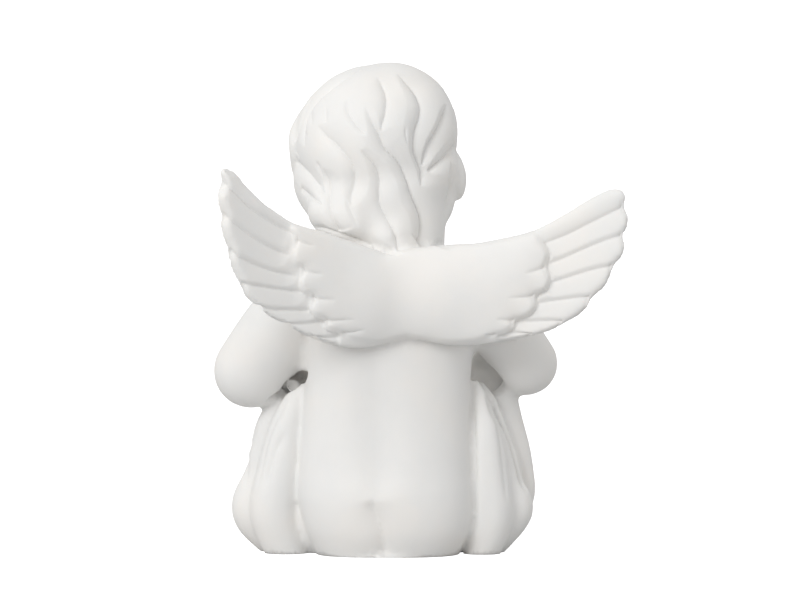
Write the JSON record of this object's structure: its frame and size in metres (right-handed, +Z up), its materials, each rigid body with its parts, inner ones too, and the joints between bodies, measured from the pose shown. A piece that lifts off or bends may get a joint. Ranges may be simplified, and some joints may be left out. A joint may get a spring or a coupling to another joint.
{
  "type": "angel figurine",
  "caption": "Seated winged child with drawn-up knees under a draped cloth, forearms folded over the knees and wings half spread, standing on a flat underside.",
  "frame": {"origin": "on the flat underside, below the middle of the back", "axes": "+Z up, the figure faces -Y, +X is the figure's own left"},
  "size_m": [0.0837, 0.0804, 0.1001],
  "materials": {
    "bisque": "unglazed white bisque porcelain"
  },
  "bodies": {
    "root": {"seated_angel": "bisque"}
  },
  "joints": []
}
